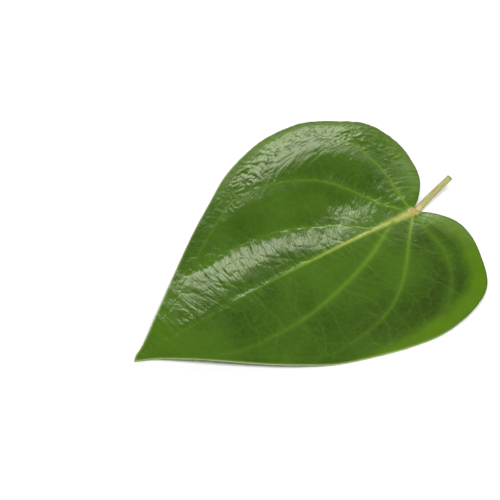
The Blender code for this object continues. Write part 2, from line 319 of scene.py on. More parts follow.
    # How much the creases lean off circles round the joint, near it and towards the tip
    crease_leans: Pair = (0.10, -0.17)
    lean_change: Pair = (0.50, 0.68)  # shares along between which one passes into the other
    ring: Array = field(init=False)
    measured: Array = field(init=False)
    veins: list[Vein] = field(init=False)

    def __post_init__(self) -> None:
        """Works out the margin and the main veins."""
        self.ring = self.outline(self.margin_step)
        self.measured = np.vstack([self.outline(self.measure_step), self.ring[:1]])
        rows = [(self.midrib, self.midrib_rib, self.midrib_look)]
        rows += zip(self.broad_veins, self.side_ribs, self.broad_looks)
        rows += zip(self.narrow_veins, self.side_ribs, self.narrow_looks)
        self.veins = []
        for shares, rib, look in rows:
            line, shown = curve_through(self.in_plan(shares)), np.array(look) * (1, MM, 1)
            self.veins.append(Vein(line, *(np.array(rib) * MM), shown))

    def in_plan(self, shares: tuple) -> Array:
        """Points given as shares of the length and of the half width, in metres about the stalk joint."""
        points = np.array(shares, dtype=float).reshape(-1, 2)
        half = np.where(points[:, 1] > 0, self.broad_half, self.narrow_half)
        return np.column_stack([-points[:, 0] * self.length, points[:, 1] * half])

    def shares_of(self, points: Array) -> tuple[Array, Array]:
        """Each point's share of the length and of its side's half width."""
        half = np.where(points[:, 1] > 0, self.broad_half, self.narrow_half)
        return -points[:, 0] / self.length, points[:, 1] / half

    def reach(self, points: Array) -> Array:
        """Roughly the distance from the joint; its level lines run as the creases do."""
        along, _ = self.shares_of(points)
        near, far = self.crease_leans
        lean = near + (far - near) * ease(along, *self.lean_change)
        return np.linalg.norm(points, axis=1) + lean * np.abs(points[:, 1])

    def crease_way(self, points: Array) -> Array:
        """Unit vectors along the creases."""
        step = 0.05 * MM
        rise = [self.reach(points + ahead) - self.reach(points - ahead) for ahead in ((step, 0), (0, step))]
        return unit(sideways(np.column_stack(rise)))

    def outline(self, step: float) -> Array:
        """The margin from the butt face round the tip and back, as one ring without a repeated point."""
        middle = self.butt_setback * np.array([math.cos(self.stalk_swing), math.sin(self.stalk_swing)])
        across = self.butt_width / 2 * np.array([-math.sin(self.stalk_swing), math.cos(self.stalk_swing)])
        tip = self.in_plan(self.tip)
        broad = curve_through(np.vstack([middle + across, self.in_plan(self.broad_margin), tip]))
        narrow = curve_through(np.vstack([middle - across, self.in_plan(self.narrow_margin), tip]))
        return np.vstack([stepped(broad, step), stepped(narrow, step)[-2::-1]])

    def inset(self, depth: float) -> Array:
        """The margin's ring moved inwards."""
        along = np.roll(self.ring, -1, axis=0) - np.roll(self.ring, 1, axis=0)
        return self.ring + depth * sideways(unit(along))

    def inside(self, points: Array) -> Array:
        """Which points are inside the margin, by counting its crossings of a ray to +X."""
        count = np.zeros(len(points), dtype=int)
        for (ax, ay), (bx, by) in zip(self.ring, np.roll(self.ring, -1, axis=0)):
            if ay == by:
                continue
            spans = (points[:, 1] >= min(ay, by)) & (points[:, 1] < max(ay, by))
            count += spans & (points[:, 0] < ax + (points[:, 1] - ay) * (bx - ax) / (by - ay))
        return count % 2 == 1

    def read(self, points: Array) -> Reading:
        """Measures each point against the margin and every main vein."""
        beside = [nearest_on(vein.line, points) for vein in self.veins]
        edge_gap, edge_share = nearest_on(self.measured, points)
        return Reading(
            points=points,
            vein_gaps=np.array([gap for gap, _ in beside]),
            vein_shares=np.array([share for _, share in beside]),
            edge_gap=edge_gap,
            edge_share=edge_share,
        )


def tree_of(lines: list[Array]) -> tuple[kdtree.KDTree, Array]:
    """A search tree of the points of some lines, and the number of the line that each point belongs to."""
    owners = np.repeat(np.arange(len(lines)), [len(line) for line in lines])
    tree = kdtree.KDTree(len(owners))
    for index, (x, y) in enumerate(np.vstack(lines)):
        tree.insert((x, y, 0), index)
    tree.balance()
    return tree, owners


@dataclass
class VeinNet:
    """The finer veins: ones that cross between main veins, links between those, and a loop by the margin."""

    plan: LeafPlan
    root_spacing: float = 7.5 * MM
    root_starts: Pair = (0.55, 0.97)  # the first one in spacings, the last one as a share of the vein
    root_jitter: Pair = (0.5, 0.3)  # of the first one and of the others, in spacings
    link_spacing: float = 6.5 * MM
    link_length: float = 2.5  # in link spacings
    step: float = 0.5 * MM
    lean: float = 0.30  # forward, as a share of the way across
    wander: float = 0.75
    # Bends of the crossing veins and of the links: strength, spacing and seed
    cross_bends: tuple = ((1.0, 4 * MM, 13), (0.7, 1.5 * MM, 14))
    link_bend: tuple[float, float, int] = (1.1, 1.6 * MM, 82)
    link_turn: float = 1.2
    own_stretch: float = 3 * MM  # length that a crossing vein has before its own main vein can stop it
    margin_stop: float = 2.6 * MM
    loop_inset: float = 3.0 * MM
    loop_wander: float = 0.7 * MM
    loop_bend: float = 6 * MM
    loop_seeds: tuple[int, int] = (31, 57)
    longest: float = 45 * MM
    shortest: int = 4  # steps
    touch: float = 0.45 * MM
    link_strength: float = 0.6
    loop_strength: float = 0.5
    seed: int = 7
    draw: np.random.Generator = field(init=False)
    tree: kdtree.KDTree = field(init=False)
    strengths: Array = field(init=False)

    def __post_init__(self) -> None:
        """Grows the whole net and puts its points in a tree for searching."""
        self.draw = np.random.default_rng(self.seed)
        crosses = self.grow_crosses()
        links = self.grow_links(crosses)
        loop = self.plan.inset(self.loop_inset)
        sway = np.column_stack([rough(loop / self.loop_bend, seed) for seed in self.loop_seeds])
        loop = loop + self.loop_wander * sway
        lines = [(line, 1.0) for line in crosses] + [(line, self.link_strength) for line in links]
        lines.append((np.vstack([loop, loop[:1]]), self.loop_strength))
        fine = [(stepped(line, self.step / 2), strength) for line, strength in lines if len(line) > 2]
        self.tree, owners = tree_of([line for line, _ in fine])
        self.strengths = np.array([strength for _, strength in fine])[owners]

    def flow(self, points: Array) -> Array:
        """Unit vectors along the main veins near each point, from the joint outwards."""
        reading = self.plan.read(points)
        total = np.zeros((len(points), 2))
        for vein, gap, share in reading.beside(self.plan.veins):
            run = run_of(vein.line)
            ahead = at_run(vein.line, np.minimum(share * run[-1] + self.step, run[-1]))
            behind = at_run(vein.line, np.maximum(share * run[-1] - self.step, 0))
            total += unit(ahead - behind) / (gap[:, None] ** 2 + MM**2)
        return unit(total)

    def grow(self, place: Array, longest: float, heading_at: Callable, arrived: Callable) -> list[Array]:
        """Lets veins grow together, a step at a time.

        Args:
            place: where they start.
            longest: the length at which they stop in any case.
            heading_at: gives the direction of growth at points.
            arrived: gives which have come to their end, from the number of steps, the points, what the plan
                reads there and which still grow.

        Returns:
            The line of each vein that is longer than a few steps.
        """
        trails = [[point] for point in place]
        growing = np.ones(len(place), dtype=bool)
        for count in range(int(longest / self.step)):
            place = np.where(growing[:, None], place + self.step * unit(heading_at(place)), place)
            for index in np.flatnonzero(growing):
                trails[index].append(place[index].copy())
            growing &= ~arrived(count, place, self.plan.read(place), growing)
            if not growing.any():
                break
        return [np.array(trail) for trail in trails if len(trail) > self.shortest]

    def grow_crosses(self) -> list[Array]:
        """Veins that leave each main vein on its outer side, the midrib on both, and end on the next one or
        by the margin."""
        starts, sides, owners = [], [], []
        outer = [(1, -1)] + [(-1,)] * len(self.plan.broad_veins) + [(1,)] * len(self.plan.narrow_veins)
        for owner, vein in enumerate(self.plan.veins):
            length = run_of(vein.line)[-1]
            for side in outer[owner]:
                first = self.root_spacing * (self.root_starts[0] + self.root_jitter[0] * self.draw.random())
                evenly = np.arange(first, length * self.root_starts[1], self.root_spacing)
                jitter = self.root_spacing * self.root_jitter[1]
                runs = [run + jitter * (self.draw.random() - 0.5) for run in evenly]
                starts += list(at_run(vein.line, np.minimum(runs, length)))
                sides += [side] * len(runs)
                owners += [owner] * len(runs)
        turn = self.wander * (self.draw.random(len(starts)) - 0.5)
        numbers = np.arange(len(starts))

        def heading_at(place: Array) -> Array:
            """Across the main veins, leant and swayed along them."""
            flow = self.flow(place)
            bends = sum(share * rough(place / spacing, seed) for share, spacing, seed in self.cross_bends)
            sway = (turn + self.wander * bends)[:, None]
            return np.array(sides)[:, None] * sideways(flow) + (self.lean + sway) * flow

        def arrived(count: int, place: Array, reading: Reading, _: Array) -> Array:
            """Which have met another main vein, their own one again, or the margin."""
            others = reading.vein_gaps.copy()
            if count * self.step < self.own_stretch:
                others[owners, numbers] = 1
            met = (others.min(axis=0) < self.touch) | (reading.edge_gap < self.margin_stop)
            return met | ~self.plan.inside(place)

        return self.grow(np.array(starts), self.longest, heading_at, arrived)

    def grow_links(self, crosses: list[Array]) -> list[Array]:
        """Short veins that run on from one crossing vein to the next."""
        tree, owner_of = tree_of(crosses)
        starts, owners = [], []
        for owner, line in enumerate(crosses):
            first = self.link_spacing * (0.5 + 0.5 * self.draw.random())
            runs = np.arange(first, run_of(line)[-1], self.link_spacing)
            starts += list(at_run(line, runs))
            owners += [owner] * len(runs)
        turn = self.link_turn * (self.draw.random(len(starts)) - 0.5)[:, None]
        share, spacing, seed = self.link_bend

        def heading_at(place: Array) -> Array:
            """Along the main veins, swayed across them."""
            flow = self.flow(place)
            return flow + (turn + share * rough(place / spacing, seed)[:, None]) * sideways(flow)

        def arrived(_: int, place: Array, reading: Reading, growing: Array) -> Array:
            """Which have met another crossing vein, a main vein or the margin."""
            met = (reading.vein_gap <= self.touch) | (reading.edge_gap <= self.margin_stop)
            for index in np.flatnonzero(growing):
                _, nearest, gap = tree.find((*place[index], 0))
                met[index] |= gap < self.touch and owner_of[nearest] != owners[index]
            return met

        return self.grow(np.array(starts), self.link_length * self.link_spacing, heading_at, arrived)

    def gaps(self, points: Array) -> tuple[Array, Array]:
        """Each point's distance from the nearest finer vein, and how strong that vein is."""
        found = [self.tree.find((x, y, 0)) for x, y in points]
        return np.array([gap for _, _, gap in found]), self.strengths[[index for _, index, _ in found]]


@dataclass
class BladeForm:
    """Heights of the blade's two faces over the surface that it lies on."""

    plan: LeafPlan
    net: VeinNet
    cad_thickness: float = 0.8 * MM
    thickness: float = 0.5 * MM
    margin_thickness: float = 0.34 * MM
    thinning_reach: float = 2.0 * MM
    rest_level: float = 4.3 * MM
    waves: int = 9
    wave_rise: float = 0.35 * MM
    wave_reach: float = 7 * MM
    still_reach: float = 20 * MM
    settling: float = 0.5 * MM
    boss_depth: float = 2.6 * MM
    boss_reach: float = 3.4 * MM
    # Rise, then centre and reach as shares of the length and of the half width, as on the solid
    swells: tuple = (
        (-1.35 * MM, (0.00, 0.00), (0.100, 0.17)),
        (1.5 * MM, (0.02, 0.66), (0.200, 0.36)),
        (0.3 * MM, (-0.05, -0.40), (0.167, 0.32)),
        (-4.2 * MM, (0.60, 0.70), (0.170, 0.36)),
        (-4.3 * MM, (0.40, -1.00), (0.300, 0.60)),
        (-2.6 * MM, (1.02, 0.00), (0.216, 0.50)),
        (0.9 * MM, (0.28, 0.56), (0.200, 0.30)),
        (-2.4 * MM, (0.17, 0.33), (0.110, 0.20)),
    )
    # Along each of the plan's veins, in millimetres: its valley's depth and reach, then what the upper face
    # adds, a groove's depth and how much of the valley is filled again
    along_veins: tuple = (
        (0.40, 3.0, 0.0, 0.20),
        (2.20, 9.0, 0.05, 0.0),
        (0.45, 4.5, 0.0, 0.28),
        (0.30, 4.0, 0.05, 0.0),
        (0.25, 4.0, 0.05, 0.0),
        (0.35, 4.5, 0.05, 0.0),
        (0.30, 4.5, 0.05, 0.0),
        (0.25, 4.0, 0.0, 0.15),
        (0.20, 4.0, 0.0, 0.15),
    )
    vein_rise: Pair = (0.0, 0.32)  # shares of a vein between which its valley deepens
    broad_roll: Pair = (2.8 * MM, 12.0 * MM)
    # Where the broad half's roll is interrupted: centre and reach in the same shares
    lull: tuple = ((-0.055, 0.68), (0.085, 0.16))
    lull_share: float = 0.55
    narrow_roll: Pair = (0.5 * MM, 5.0 * MM)
    roll_end: Pair = (0.60, 0.30)  # shares along between which the broad one sets in
    roll_change: Pair = (-0.05, 0.15)  # shares across between which one passes into the other
    beside_reach: float = 1.9 * MM
    groove_reach: float = 1.7 * MM
    # The midrib's ridge: shares of its length and the rise there in millimetres
    ridge: tuple = ((0, 0.10), (0.14, 0.12), (0.24, 0.27), (0.58, 0.24), (0.635, 0.32), (0.68, 0.05), (1, 0))
    ridge_width: float = 1.45 * MM
    cord_rise: float = 0.02 * MM
    cord_width: float = 0.50 * MM
    net_groove: float = 0.075 * MM
    net_reach: float = 0.65 * MM
    net_calm: float = 0.7  # share of it that follows the wrinkles' strength
    # Wrinkles along the creases' way: rise, spacing, length, seed
    folds: tuple = (0.145 * MM, 2.3 * MM, 12.0 * MM, 113)
    blisters: tuple = (0.205 * MM, 1.7 * MM, 2.3 * MM, 18)
    ripples: tuple = (0.030 * MM, 0.80 * MM, 7.0 * MM, 49)
    blister_band: Pair = (18 * MM, 10 * MM)  # distances from the margin where they end and are full
    blister_side: Pair = (0.25, 0.45)  # shares across where they set in
    fold_mean: float = 0.5
    smoother: float = 0.6  # share of the ripples and streaks that the blisters lose
    # Where the wrinkles weaken: the share lost, and from where to where across and along the loss sets in
    calms: tuple = (
        (0.68, (0.02, -0.04), ALL),  # the narrow half
        (0.75, (0.36, 0.50), (0.27, 0.42)),  # by the broad half's margin towards the tip
        (0.80, (0.15, 0.0), (0.10, -0.02)),  # the narrow half's lobe
        (0.20, ALL, (0.68, 0.82)),  # towards the tip
    )
    middle_calm: float = 0.5  # share that they lose between the broad half's second and third vein
    middle_edge: Pair = (0.10, 0.50)  # shares along between which that stretch moves outwards
    beside_calm: float = 0.6 * MM  # how far from a main vein they are whole
    joint_calm: float = 6 * MM
    # Slight slopes of the upper face alone: rise across them, centre in shares, reach, heading of the rise
    slopes: tuple = (
        (-0.80 * MM, (0.17, 0.24), 9.0 * MM, math.radians(56)),
        (-0.22 * MM, (0.24, 0.09), 7.0 * MM, math.radians(56)),
        (0.35 * MM, (0.03, -0.14), 8.0 * MM, math.radians(56)),
    )
    knob_rise: float = 0.35 * MM
    knob_reach: float = 2.0 * MM

    def valley(self, depth: float, reach: float, gap: Array, share: Array) -> Array:
        """Depth of a main vein's valley beside it, none at the joint and at the tip."""
        return depth * ease(share, *self.vein_rise) * (1 - share**6) * bell(gap, reach)

    def cad_underside(self, reading: Reading) -> Array:
        """The solid's underside between its ribs: broad form, a valley at each main vein, and a rolled, waved
        margin."""
        along, across = self.plan.shares_of(reading.points)
        height = np.full(len(reading.points), self.rest_level)
        for rise, centre, reach in self.swells:
            height += rise * mound(along, across, centre, reach)
        sunk = np.zeros(len(height))
        for row, gap, share in reading.beside(self.along_veins):
            depth, reach, *_ = np.array(row) * MM
            sunk = np.maximum(sunk, self.valley(depth, reach, gap, share))
        clear = 1 - bell(reading.joint_gap, self.still_reach)
        lull = self.lull_share * mound(along, across, *self.lull)
        depth, reach = self.broad_roll
        broad = depth * bell(reading.edge_gap, reach) * ease(along, *self.roll_end) * (1 - lull)
        depth, reach = self.narrow_roll
        narrow = depth * bell(reading.edge_gap, reach)
        roll = narrow + (broad - narrow) * ease(across, *self.roll_change)
        fade = bell(reading.edge_gap, self.wave_reach)
        wave = self.wave_rise * np.sin(2 * math.pi * self.waves * reading.edge_share) * fade
        free = height - sunk + clear * (wave - roll) - self.cad_thickness
        eased = (free + self.settling) ** 2 / (4 * self.settling)
        return np.where(free > self.settling, free, np.where(free > -self.settling, eased, 0))

    def veins_shown(self, reading: Reading) -> tuple[Array, Array, Array]:
        """How the main veins show on the upper face.

        Args:
            reading: the points, measured against the veins.

        Returns:
            For each point: how far it is within the nearest vein's cord, how pale that vein is there, and how
            far the point is within the fresher green on both sides of a vein.
        """
        shown, paleness, weights, beside = (np.zeros(len(reading.points)) for _ in range(4))
        for vein, gap, share in reading.beside(self.plan.veins):
            half_width, pale = vein.shown(share)
            here = bell(gap, half_width)
            weight = here**3
            paleness += weight * pale
            weights += weight
            shown = np.maximum(shown, here)
            beside = np.maximum(beside, bell(gap, self.beside_reach) * (1 - share) * ease(share, 0.0, 0.1))
        return shown, paleness / np.maximum(weights, 1e-9), beside

    def vein_relief(self, reading: Reading) -> Array:
        """Height that the upper face adds along the main veins: the midrib's ridge, and the side veins' fine
        cords, grooves and filled valleys."""
        height = np.zeros(len(reading.points))
        for order, (row, gap, share) in enumerate(reading.beside(self.along_veins)):
            _, reach, groove, fill = np.array(row) * MM
            height += self.valley(fill, reach, gap, share)
            height -= groove * (1 - share) * bell(gap, self.groove_reach)
            if order == 0:
                height += np.interp(share, *np.array(self.ridge).T) * MM * bell(gap, self.ridge_width)
            else:
                height += self.cord_rise * (1 - share) * bell(gap, self.cord_width)
        return height

    def blistered(self, reading: Reading) -> Array:
        """How much of the wrinkling is short blisters: all of it by the broad half's margin."""
        _, across = self.plan.shares_of(reading.points)
        return ease(reading.edge_gap, *self.blister_band) * ease(across, *self.blister_side)

    def calm(self, reading: Reading) -> Array:
        """How strong the wrinkles are: full on the broad half, fainter where the blade is calm."""
        along, across = self.plan.shares_of(reading.points)
        left = np.ones(len(along))
        for lost, range_across, range_along in self.calms:
            left *= 1 - lost * ease(across, *range_across) * ease(along, *range_along)
        outwards = across - 0.25 - 0.25 * ease(along, *self.middle_edge)
        left *= 1 - self.middle_calm * ease(outwards, 0.0, 0.12) * (1 - self.blistered(reading))
        left *= ease(reading.vein_gap, 0.0, self.beside_calm)
        return left * (1 - bell(reading.joint_gap, self.joint_calm))

    def wrinkles(self, points: Array, kind: tuple, folded: bool) -> Array:
        """Height of one kind of wrinkles: domes with sharp creases between if folded, else plain ripples."""
        rise, run, width, seed = kind
        here = brushed(points, self.plan.crease_way(points), run, width, seed)
        return rise * (np.abs(here) - self.fold_mean if folded else here)

    def tilted(self, points: Array) -> Array:
        """Height that the slight slopes add."""
        height = np.zeros(len(points))
        for rise, centre, reach, heading in self.slopes:
            offset = (points - self.plan.in_plan(centre)) / reach
            along = offset @ np.array([math.cos(heading), math.sin(heading)])
            height += rise * along * np.exp(-((offset**2).sum(axis=1)))
        return height

    def upper(self, reading: Reading) -> Array:
        """Height of the upper face."""
        net_gap, net_strength = self.net.gaps(reading.points)
        thinner = (self.thickness - self.margin_thickness) * bell(reading.edge_gap, self.thinning_reach)
        calm = self.calm(reading)
        blistered = self.blistered(reading)
        relief = self.wrinkles(reading.points, self.folds, True) * (1 - blistered)
        relief += self.wrinkles(reading.points, self.blisters, True) * blistered
        relief += self.wrinkles(reading.points, self.ripples, False) * (1 - self.smoother * blistered)
        relief *= calm
        grooved = 1 - self.net_calm + self.net_calm * calm
        relief -= self.net_groove * bell(net_gap, self.net_reach) * net_strength * grooved
        relief += self.tilted(reading.points) + self.vein_relief(reading)
        relief += self.knob_rise * bell(reading.joint_gap, self.knob_reach)
        return self.cad_underside(reading) + (self.thickness - thinner) + relief

    def under(self, reading: Reading) -> Array:
        """Height of the underside, with its ribs and the swelling at the stalk joint."""
        ribs = []
        for vein, gap, share in reading.beside(self.plan.veins):
            taper = 1 - share
            ribs.append(vein.rib_depth * taper * bell(gap, vein.rib_half_width * (0.5 + 0.5 * taper)))
        net_gap, net_strength = self.net.gaps(reading.points)
        small = self.net_groove * bell(net_gap, 0.6 * self.net_reach) * net_strength
        boss = self.boss_depth * bell(reading.joint_gap, self.boss_reach)
        hanging = np.maximum(np.max(ribs, axis=0), small) + boss
        return np.maximum(self.cad_underside(reading) - hanging, 0)


class Recipe:
    """A material's node tree while it is put together."""

    def __init__(self, name: str) -> None:
        """Starts an empty material."""
        self.material = bpy.data.materials.new(name)
        self.material.use_nodes = True
        self.tree = self.material.node_tree
        self.tree.nodes.clear()

    def add(self, kind: str, inputs: dict | None = None, **settings: object) -> bpy.types.Node:
        """One more node.

        Args:
            kind: the node's type, without ShaderNode.
            inputs: values or sockets by the input's name or number.
            settings: the node's own properties.

        Returns:
            The node.
        """
        node = self.tree.nodes.new("ShaderNode" + kind)
        for key, value in settings.items():
            setattr(node, key, value)
        for key, value in (inputs or {}).items():
            if isinstance(value, Socket):
                self.tree.links.new(value, node.inputs[key])
            else:
                node.inputs[key].default_value = value
        return node

    def place(self) -> Socket:
        """The point in the piece's own coordinates."""
        return self.add("TexCoord").outputs["Object"]

    def stored(self, name: str, kind: str = "Fac") -> Socket:
        """What the mesh stores at its points under a name: a number, or with Vector a vector."""
        return self.add("Attribute", attribute_name=name).outputs[kind]

    def maths(self, operation: str, *values: Socket | float) -> Socket:
        """A sum, product or the like of one to three values."""
        return self.add("Math", dict(enumerate(values)), operation=operation).outputs[0]

    def times(self, first: Socket, second: Socket | float) -> Socket:
        """A product."""
        return self.maths("MULTIPLY", first, second)

    def mix(self, share: Socket | float, first: Socket | Colour, second: Socket | Colour) -> Socket:
        """A blend of two colours."""
        colours = [c if isinstance(c, Socket) else (*c, 1.0) for c in (first, second)]
        node = self.add("Mix", {0: share, 6: colours[0], 7: colours[1]}, data_type="RGBA")
        return node.outputs[2]

    def coats(self, colour: Socket, rows: tuple) -> Socket:
        """A colour with others laid over it, each row with its share and its colour."""
        for share, over in rows:
            colour = self.mix(share, colour, over)
        return colour

    def span(self, value: Socket, low: float, high: float, to_low: float = 0, to_high: float = 1) -> Socket:
        """The value, stretched from low..high to the other range, and held inside it."""
        sockets = {"Value": value, "From Min": low, "From Max": high, "To Min": to_low, "To Max": to_high}
        return self.add("MapRange", sockets).outputs[0]

    def grain(self, vector: Socket, scale: float, detail: float = 2.0, roughness: float = 0.5) -> Socket:
        """Noise from 0 to 1."""
        sockets = {"Vector": vector, "Scale": scale, "Detail": detail, "Roughness": roughness}
        return self.add("TexNoise", sockets).outputs[0]

    def cells(self, vector: Socket, scale: float) -> Socket:
        """Distance to the edges between random cells."""
        sockets = {"Vector": vector, "Scale": scale}
        return self.add("TexVoronoi", sockets, feature="DISTANCE_TO_EDGE").outputs[0]

    def bump(self, height: Socket, depth: float, normal: Socket | None = None) -> Socket:
        """A bumped normal."""
        sockets = {"Height": height, "Distance": depth, "Strength": 1.0}
        if normal:
            sockets["Normal"] = normal
        return self.add("Bump", sockets).outputs[0]

    def skin(self, colour: Socket | Colour, roughness: Socket | float, inputs: dict | None = None) -> Socket:
        """An opaque surface; inputs gives more of the shader's own values."""
        base = colour if isinstance(colour, Socket) else (*colour, 1.0)
        sockets = {"Base Color": base, "Roughness": roughness, **(inputs or {})}
        return self.add("BsdfPrincipled", sockets).outputs[0]

    def lit_through(self, skin: Socket, inputs: dict | None = None) -> Socket:
        """The surface, with a little of the light that comes through the leaf."""
        glow = self.add("BsdfTranslucent", {"Color": (*THROUGH, 1.0), **(inputs or {})}).outputs[0]
        return self.add("MixShader", {0: THROUGH_SHARE, 1: skin, 2: glow}).outputs[0]

    def finish(self, surface: Socket) -> bpy.types.Material:
        """Joins the surface to the output."""
        self.add("OutputMaterial", {"Surface": surface})
        return self.material


@dataclass(frozen=True)
class WaxyGreen:
    """The upper face: deep waxy green, with pale veins and a paler band of painted light along the narrow
    half's margin.
    """

    deep: Colour = (0.035, 0.087, 0.0070)
    fresh: Colour = (0.067, 0.150, 0.0110)
    vein: Colour = (0.50, 0.51, 0.13)
    vein_mid: Colour = (0.215, 0.36, 0.030)
    vein_far: Colour = (0.115, 0.235, 0.020)
    beside_share: float = 0.35
    net: Colour = (0.085, 0.17, 0.02)
    net_share: float = 0.4
    # Painted light: the paler green of light coming through the leaf along its margin
    band: Colour = (0.100, 0.200, 0.008)
    # Painted highlight along the margin's edge, then the painted dark outline that it turns to on the lobes
    margin: Colour = (0.34, 0.44, 0.18)
    painted_outline: Colour = (0.035, 0.075, 0.012)
    # Painted shade: the darker band inside the painted light by the margin; the darker specks use this colour
    # too
    shade: Colour = (0.034, 0.062, 0.0085)
    tint: Colour = (0.97, 1.0, 0.60)
    joint: Colour = (0.60, 0.46, 0.17)
    joint_dark: Colour = (0.36, 0.26, 0.075)
    # Noise cells to a metre
    cloud_scale: float = 45
    patch_scale: float = 90
    mottle_scale: float = 420
    worn_scale: float = 700
    skin_scale: float = 900
    scar_scale: float = 1300
    speck_scale: float = 1500
    roughness: Pair = (0.16, 0.24)
    dull: float = 0.40
    streak_depth: float = 0.20 * MM
    cell_depth: float = 0.050 * MM

    def blade_colour(self, recipe: Recipe, place: Socket, mottle: Socket) -> Socket:
        """The green between the veins: clouds, mottles, specks, a paler band of painted light through the
        leaf, a darker band of painted shade inside it, and the net.
        """
        clouds = recipe.grain(place, self.cloud_scale, 3)
        specks = recipe.grain(place, self.speck_scale, 2)
        patches = recipe.span(recipe.grain(place, self.patch_scale, 3, 0.6), 0.32, 0.54)
        fine_net = recipe.cells(place, self.mottle_scale)
        rows = (
            (recipe.span(mottle, 0.3, 0.8, 0, 0.35), self.fresh),
            (recipe.span(specks, 0.35, 0.65, 0.0, 0.18), self.shade),
            # Painted light through the leaf by the margin, then painted shade inside it, broken into patches
            (recipe.stored("band"), self.band),
            (recipe.times(recipe.stored("shade"), patches), self.shade),
            (recipe.span(fine_net, 0.0, 0.10, 0.25, 0.0), self.net),
            (recipe.times(recipe.stored("net"), self.net_share), self.net),
            (recipe.times(recipe.stored("beside"), self.beside_share), self.vein_far),
        )
        return recipe.coats(recipe.mix(recipe.span(clouds, 0.35, 0.65), self.deep, self.fresh), rows)

    def marked(self, recipe: Recipe, place: Socket, colour: Socket) -> Socket:
        """The colour with the main veins, the scarred stalk joint and the margin's line on it: a painted
        highlight along the margin that turns to a painted dark outline on the lobes.
        """
        pale = recipe.stored("pale")
        line = recipe.mix(recipe.span(pale, 0.20, 0.50), self.vein_far, self.vein_mid)
        line = recipe.mix(recipe.span(pale, 0.50, 1.0), line, self.vein)
        worn = recipe.span(recipe.grain(place, self.worn_scale, 2), 0.25, 0.60, 0.75, 1.0)
        line_share = recipe.times(recipe.times(recipe.stored("vein"), worn), recipe.span(pale, 0.0, 0.8))
        scars = recipe.span(recipe.grain(place, self.scar_scale, 3, 0.6), 0.38, 0.62)
        rows = (
            (line_share, line),
            (recipe.stored("joint"), recipe.mix(scars, self.joint, self.joint_dark)),
            # The margin's line: a painted highlight, turning to a painted dark outline on the lobes
            (recipe.stored("painted_edge_line"), recipe.mix(recipe.stored("painted_outline_share"), self.margin, self.painted_outline)),
        )
        return recipe.coats(colour, rows)

    def relief(self, recipe: Recipe, place: Socket, mottle: Socket) -> Socket:
        """The bumped normal: streaks along the wrinkles, and the skin's cells."""
        streaks = recipe.grain(recipe.stored("streak", "Vector"), 1.0, 2.0, 0.6)
        streaks = recipe.times(recipe.maths("SUBTRACT", streaks, 0.5), recipe.stored("wrinkled"))
        streaked = recipe.bump(streaks, self.streak_depth)
        skin_cells = recipe.maths("MULTIPLY_ADD", recipe.cells(place, self.skin_scale), 0.5, mottle)
        return recipe.bump(skin_cells, self.cell_depth, streaked)

    def material(self) -> bpy.types.Material:
        """Builds the finish."""
        recipe = Recipe("waxy_green")
        place = recipe.place()
        mottle = recipe.grain(place, self.mottle_scale, 3, 0.6)
        colour = self.marked(recipe, place, self.blade_colour(recipe, place, mottle))
        normal = self.relief(recipe, place, mottle)
        sheen = recipe.span(mottle, 0.3, 0.7, *self.roughness)
        roughness = recipe.maths("MULTIPLY_ADD", recipe.stored("dull"), self.dull, sheen)
        inputs = {"Normal": normal, "IOR": 1.45, "Specular Tint": (*self.tint, 1.0)}
        skin = recipe.skin(colour, roughness, inputs)
        return recipe.finish(recipe.lit_through(skin, {"Normal": normal}))


@dataclass(frozen=True)
class MattGreen:
    """The underside: paler, dull green between yellow-green ribs."""

    deep: Colour = (0.13, 0.21, 0.045)
    fresh: Colour = (0.18, 0.27, 0.065)
    rib: Colour = (0.42, 0.50, 0.17)
    net_share: float = 0.7
    cloud_scale: float = 60
    cell_scale: float = 650
    cell_depth: float = 0.15 * MM

    def material(self) -> bpy.types.Material:
        """Builds the finish."""
        recipe = Recipe("matt_green")
        place = recipe.place()
        clouds = recipe.span(recipe.grain(place, self.cloud_scale, 3), 0.35, 0.65)
        net = recipe.times(recipe.stored("net"), self.net_share)
        rows = ((net, self.rib), (recipe.stored("vein"), self.rib))
        colour = recipe.coats(recipe.mix(clouds, self.deep, self.fresh), rows)
        normal = recipe.bump(recipe.cells(place, self.cell_scale), self.cell_depth)
        return recipe.finish(recipe.lit_through(recipe.skin(colour, 0.55, {"Normal": normal, "IOR": 1.4})))


@dataclass(frozen=True)
class PaleRim:
    """The blade's thin margin, a pale cut-glass green line."""

    pale: Colour = (0.30, 0.40, 0.14)
    dark: Colour = (0.13, 0.22, 0.04)
    speckle_scale: float = 300

    def material(self) -> bpy.types.Material:
        """Builds the finish."""
        recipe = Recipe("pale_rim")
        speckle = recipe.grain(recipe.place(), self.speckle_scale, 3)
        colour = recipe.mix(recipe.span(speckle, 0.35, 0.65), self.dark, self.pale)
        return recipe.finish(recipe.skin(colour, 0.4, {"IOR": 1.4}))


@dataclass(frozen=True)
class StalkSkin:
    """The stalk: yellow-olive, streaked along its length, with two brown lines down its sides that are partly
    its own marking and partly painted shade, and brown at the cut end.
    """

    pale: Colour = (0.43, 0.42, 0.13)
    olive: Colour = (0.27, 0.28, 0.075)
    brown: Colour = (0.16, 0.11, 0.045)
    tan: Colour = (0.56, 0.47, 0.20)
    # Brown lines down the stalk's two sides: partly its own marking, partly painted shade along the sides seen
    # edge-on
    ridge: Colour = (0.17, 0.135, 0.050)
    streak_depth: float = 0.12 * MM

    def material(self) -> bpy.types.Material:
        """Builds the finish."""
        recipe = Recipe("stalk_skin")
        streaks = recipe.grain(recipe.stored("grown", "Vector"), 1.0, 3, 0.6)
        colour = recipe.mix(recipe.span(streaks, 0.35, 0.62), self.olive, self.pale)
        rows = (("base", self.tan), ("ridge_lines_and_painted_shade", self.ridge), ("cut", self.brown))
        colour = recipe.coats(colour, tuple((recipe.stored(name), over) for name, over in rows))
        normal = recipe.bump(streaks, self.streak_depth)
        return recipe.finish(recipe.skin(colour, 0.42, {"Normal": normal, "IOR": 1.4}))


